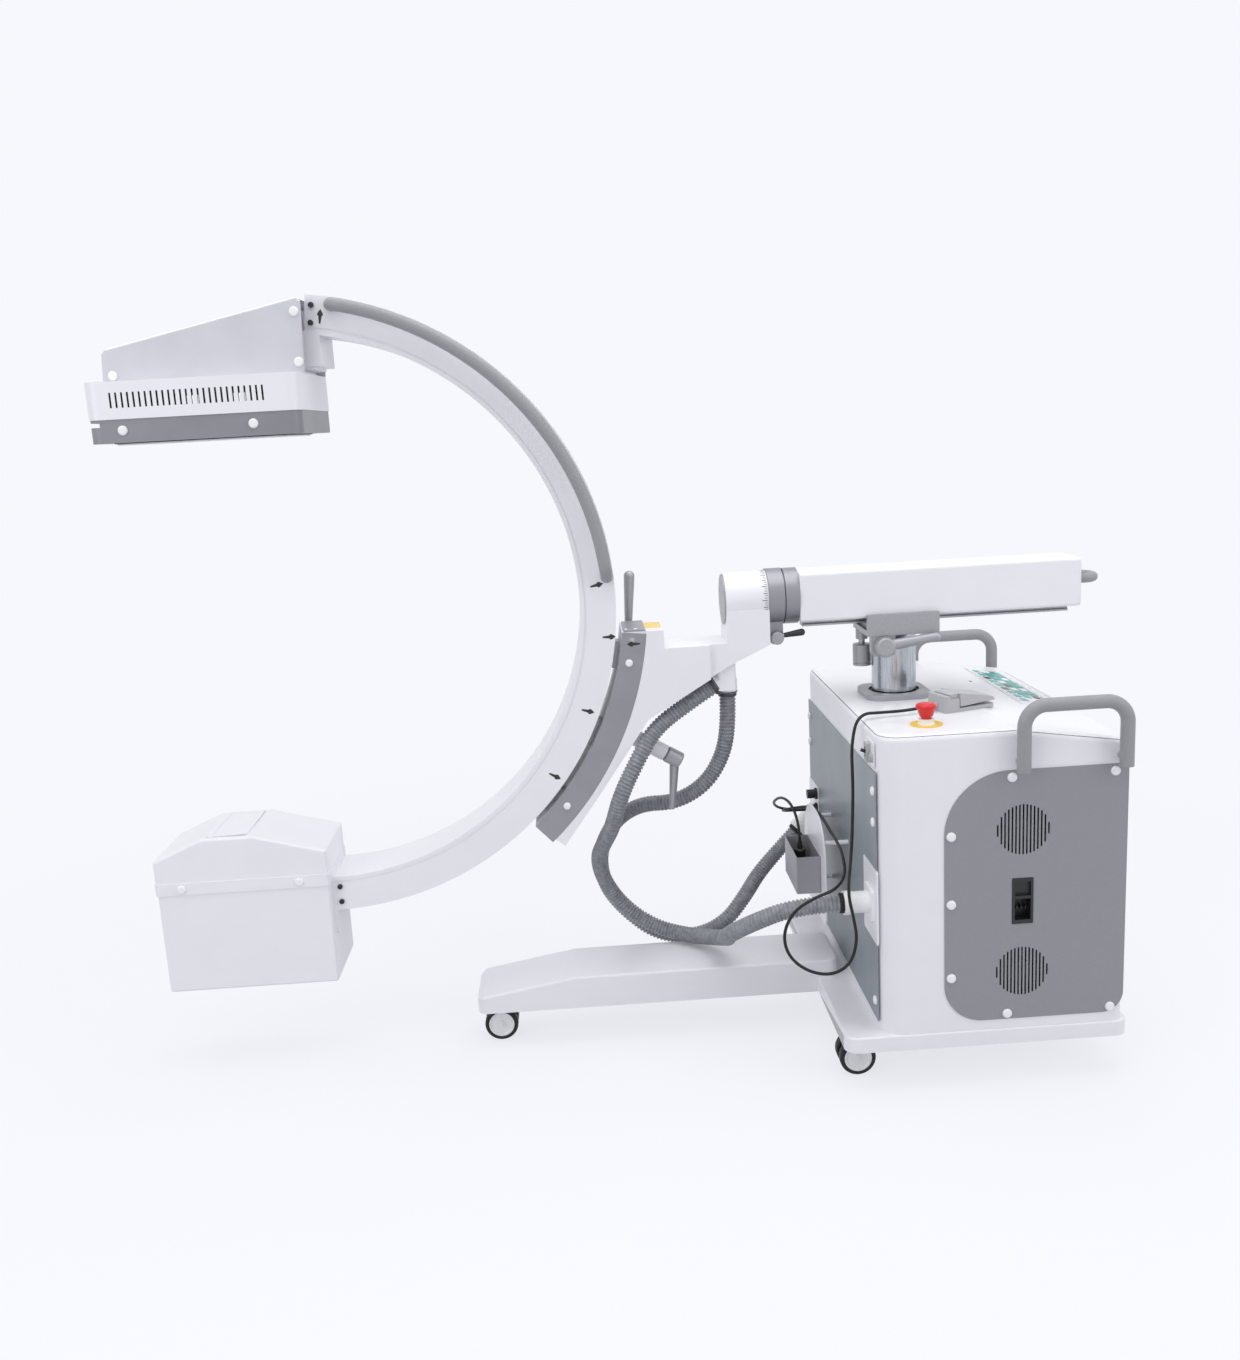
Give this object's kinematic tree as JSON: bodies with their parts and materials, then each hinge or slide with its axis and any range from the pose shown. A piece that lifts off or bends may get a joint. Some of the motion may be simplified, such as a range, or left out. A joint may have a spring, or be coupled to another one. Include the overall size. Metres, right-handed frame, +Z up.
{
  "type": "mobile c-arm x-ray",
  "caption": "Mobile X-ray stand: cabinet on casters, lifting column, sliding arm and a rotating C with a flat detector above and an X-ray tube unit below.",
  "frame": {"origin": "on the floor, below the middle of the unit's bounding box", "axes": "+X along the arm from the C to the push handles, +Z up"},
  "size_m": [2.062, 0.804, 1.6368],
  "materials": {
    "white_paint": "satin powder coat",
    "grey_paint": "matte powder coat",
    "steel": "brushed",
    "aluminium": "satin anodised",
    "chrome": "hard chrome plated",
    "black_plastic": "matte",
    "grey_plastic": "fine textured",
    "white_plastic": "smooth",
    "red_plastic": "smooth",
    "yellow_plastic": "smooth",
    "teal_plastic": "membrane film",
    "tyre": "matte",
    "hose": "corrugated sleeve",
    "cable": "smooth sheath",
    "window": "clear"
  },
  "bodies": {
    "root": {"chassis_frame": "white_paint", "front_leg": "white_paint", "cabinet_housing": "white_paint", "side_panels": "grey_paint", "front_panel": "grey_paint", "connection_plates": "white_paint", "cable_sockets": "black_plastic", "breaker_plate": "white_plastic", "cable_hanger": "white_paint", "hand_switch": "black_plastic", "stop_base": "yellow_plastic", "pedal_base": "grey_plastic", "control_panel": "teal_plastic", "push_handles": "grey_paint", "cabinet_screws": "white_plastic", "cabinet_internals": "steel", "column_flange": "white_paint", "lift_guide": "steel", "hose_near": "hose", "hose_far": "hose", "pedal_cable": "cable", "switch_cable": "cable"},
    "toggle": {"breaker_toggle": "black_plastic"},
    "button": {"start_button": "grey_plastic"},
    "stop": {"stop_button": "red_plastic"},
    "treadle": {"pedal_treadle": "grey_plastic"},
    "fan_upper": {"fan_rotor_upper": "black_plastic"},
    "fan_lower": {"fan_rotor_lower": "black_plastic"},
    "lift": {"column_inner": "chrome"},
    "swing": {"saddle": "aluminium"},
    "column_lock": {"saddle_lock_lever": "aluminium"},
    "index": {"index_knob": "grey_plastic"},
    "arm": {"arm_beam": "white_paint", "rotation_bearing": "aluminium"},
    "clamp": {"clamp_lever": "black_plastic"},
    "carriage": {"rotation_drum": "white_paint", "carriage_body": "white_paint", "carriage_covers": "grey_paint", "roller_bogies": "steel", "hose_bracket": "white_paint"},
    "orbital_lock": {"orbital_lock_lever": "grey_paint"},
    "side_clamp": {"side_clamp_lever": "grey_paint"},
    "c_arm": {"c_profile": "white_paint", "c_handles": "grey_paint", "detector_housing": "white_paint", "detector_rim": "grey_paint", "mount_brackets": "steel", "tube_housing": "white_paint", "xray_source": "window", "head_screws": "white_plastic"},
    "caster_1": {"caster_fork_1": "white_plastic"},
    "wheel_1": {"caster_wheel_1": "tyre"},
    "caster_2": {"caster_fork_2": "white_plastic"},
    "wheel_2": {"caster_wheel_2": "tyre"},
    "caster_3": {"caster_fork_3": "white_plastic"},
    "wheel_3": {"caster_wheel_3": "tyre"},
    "caster_4": {"caster_fork_4": "white_plastic"},
    "wheel_4": {"caster_wheel_4": "tyre"},
    "caster_5": {"caster_fork_5": "white_plastic"},
    "wheel_5": {"caster_wheel_5": "tyre"}
  },
  "joints": [
    {"name": "column_lift", "type": "slide", "parent": "root", "child": "lift", "axis": [0, 0, 1], "range_m": [0, 0.4], "deforming": ["hose_near", "hose_far"]},
    {"name": "column_swing", "type": "hinge", "parent": "lift", "child": "swing", "pos_m": [0.588, 0, 0.884], "axis": [0, 0, 1], "range_deg": [-12.5, 12.5]},
    {"name": "arm_slide", "type": "slide", "parent": "swing", "child": "arm", "axis": [1, 0, 0], "range_m": [-0.1, 0.1]},
    {"name": "c_rotation", "type": "hinge", "parent": "arm", "child": "carriage", "pos_m": [0.288, 0, 0.973], "axis": [1, 0, 0], "range_deg": [-180, 180]},
    {"name": "c_orbital", "type": "hinge", "parent": "carriage", "child": "c_arm", "pos_m": [-0.656, 0, 0.997], "axis": [0, 1, 0], "range_deg": [-36, 80]},
    {"name": "column_lock_turn", "type": "hinge", "parent": "swing", "child": "column_lock", "pos_m": [0.55, -0.08, 0.862], "axis": [0, 1, 0], "range_deg": [0, 50]},
    {"name": "index_pull", "type": "slide", "parent": "swing", "child": "index", "axis": [0, 0, -1], "range_m": [0, 0.008], "stiffness_N_per_m": 600, "springref_m": -0.002},
    {"name": "rotation_clamp_turn", "type": "hinge", "parent": "arm", "child": "clamp", "pos_m": [0.3275, 0, 0.889], "axis": [0, 1, 0], "range_deg": [0, 60]},
    {"name": "orbital_lock_turn", "type": "hinge", "parent": "carriage", "child": "orbital_lock", "pos_m": [0.007, 0, 0.684], "axis": [0.856, 0, -0.517], "range_deg": [-60, 60]},
    {"name": "side_clamp_turn", "type": "hinge", "parent": "carriage", "child": "side_clamp", "pos_m": [0.0162, 0.08, 0.9085], "axis": [0, 1, 0], "range_deg": [-60, 60]},
    {"name": "stop_press", "type": "slide", "parent": "root", "child": "stop", "axis": [0, 0, -1], "range_m": [0, 0.004], "stiffness_N_per_m": 800, "springref_m": -0.002},
    {"name": "breaker_switch", "type": "hinge", "parent": "root", "child": "toggle", "pos_m": [0.456, -0.298, 0.697], "axis": [0, -1, 0], "range_deg": [0, 48]},
    {"name": "start_press", "type": "slide", "parent": "root", "child": "button", "axis": [1, 0, 0], "range_m": [0, 0.0015], "stiffness_N_per_m": 400, "springref_m": -0.001},
    {"name": "treadle_tilt", "type": "hinge", "parent": "root", "child": "treadle", "pos_m": [0.65171, -0.17582, 0.763], "axis": [-0.309, 0.9511, 0], "range_deg": [0, 4], "stiffness_Nm_per_rad": 3, "springref_deg": -5.73},
    {"name": "fan_spin_upper", "type": "hinge", "parent": "root", "child": "fan_upper", "pos_m": [0.745, -0.35, 0.54], "axis": [0, 1, 0], "continuous": true},
    {"name": "fan_spin_lower", "type": "hinge", "parent": "root", "child": "fan_lower", "pos_m": [0.745, -0.35, 0.245], "axis": [0, 1, 0], "continuous": true},
    {"name": "caster_swivel_1", "type": "hinge", "parent": "root", "child": "caster_1", "pos_m": [-0.299, 0, 0.09], "axis": [0, 0, 1], "continuous": true},
    {"name": "wheel_spin_1", "type": "hinge", "parent": "caster_1", "child": "wheel_1", "pos_m": [-0.323, 0, 0.0375], "axis": [0, 1, 0], "continuous": true},
    {"name": "caster_swivel_2", "type": "hinge", "parent": "root", "child": "caster_2", "pos_m": [0.455, -0.262, 0.09], "axis": [0, 0, 1], "continuous": true},
    {"name": "wheel_spin_2", "type": "hinge", "parent": "caster_2", "child": "wheel_2", "pos_m": [0.431, -0.262, 0.0375], "axis": [0, 1, 0], "continuous": true},
    {"name": "caster_swivel_3", "type": "hinge", "parent": "root", "child": "caster_3", "pos_m": [0.455, 0.262, 0.09], "axis": [0, 0, 1], "continuous": true},
    {"name": "wheel_spin_3", "type": "hinge", "parent": "caster_3", "child": "wheel_3", "pos_m": [0.431, 0.262, 0.0375], "axis": [0, 1, 0], "continuous": true},
    {"name": "caster_swivel_4", "type": "hinge", "parent": "root", "child": "caster_4", "pos_m": [0.906, -0.14, 0.09], "axis": [0, 0, 1], "continuous": true},
    {"name": "wheel_spin_4", "type": "hinge", "parent": "caster_4", "child": "wheel_4", "pos_m": [0.882, -0.14, 0.0375], "axis": [0, 1, 0], "continuous": true},
    {"name": "caster_swivel_5", "type": "hinge", "parent": "root", "child": "caster_5", "pos_m": [0.906, 0.14, 0.09], "axis": [0, 0, 1], "continuous": true},
    {"name": "wheel_spin_5", "type": "hinge", "parent": "caster_5", "child": "wheel_5", "pos_m": [0.882, 0.14, 0.0375], "axis": [0, 1, 0], "continuous": true}
  ]
}
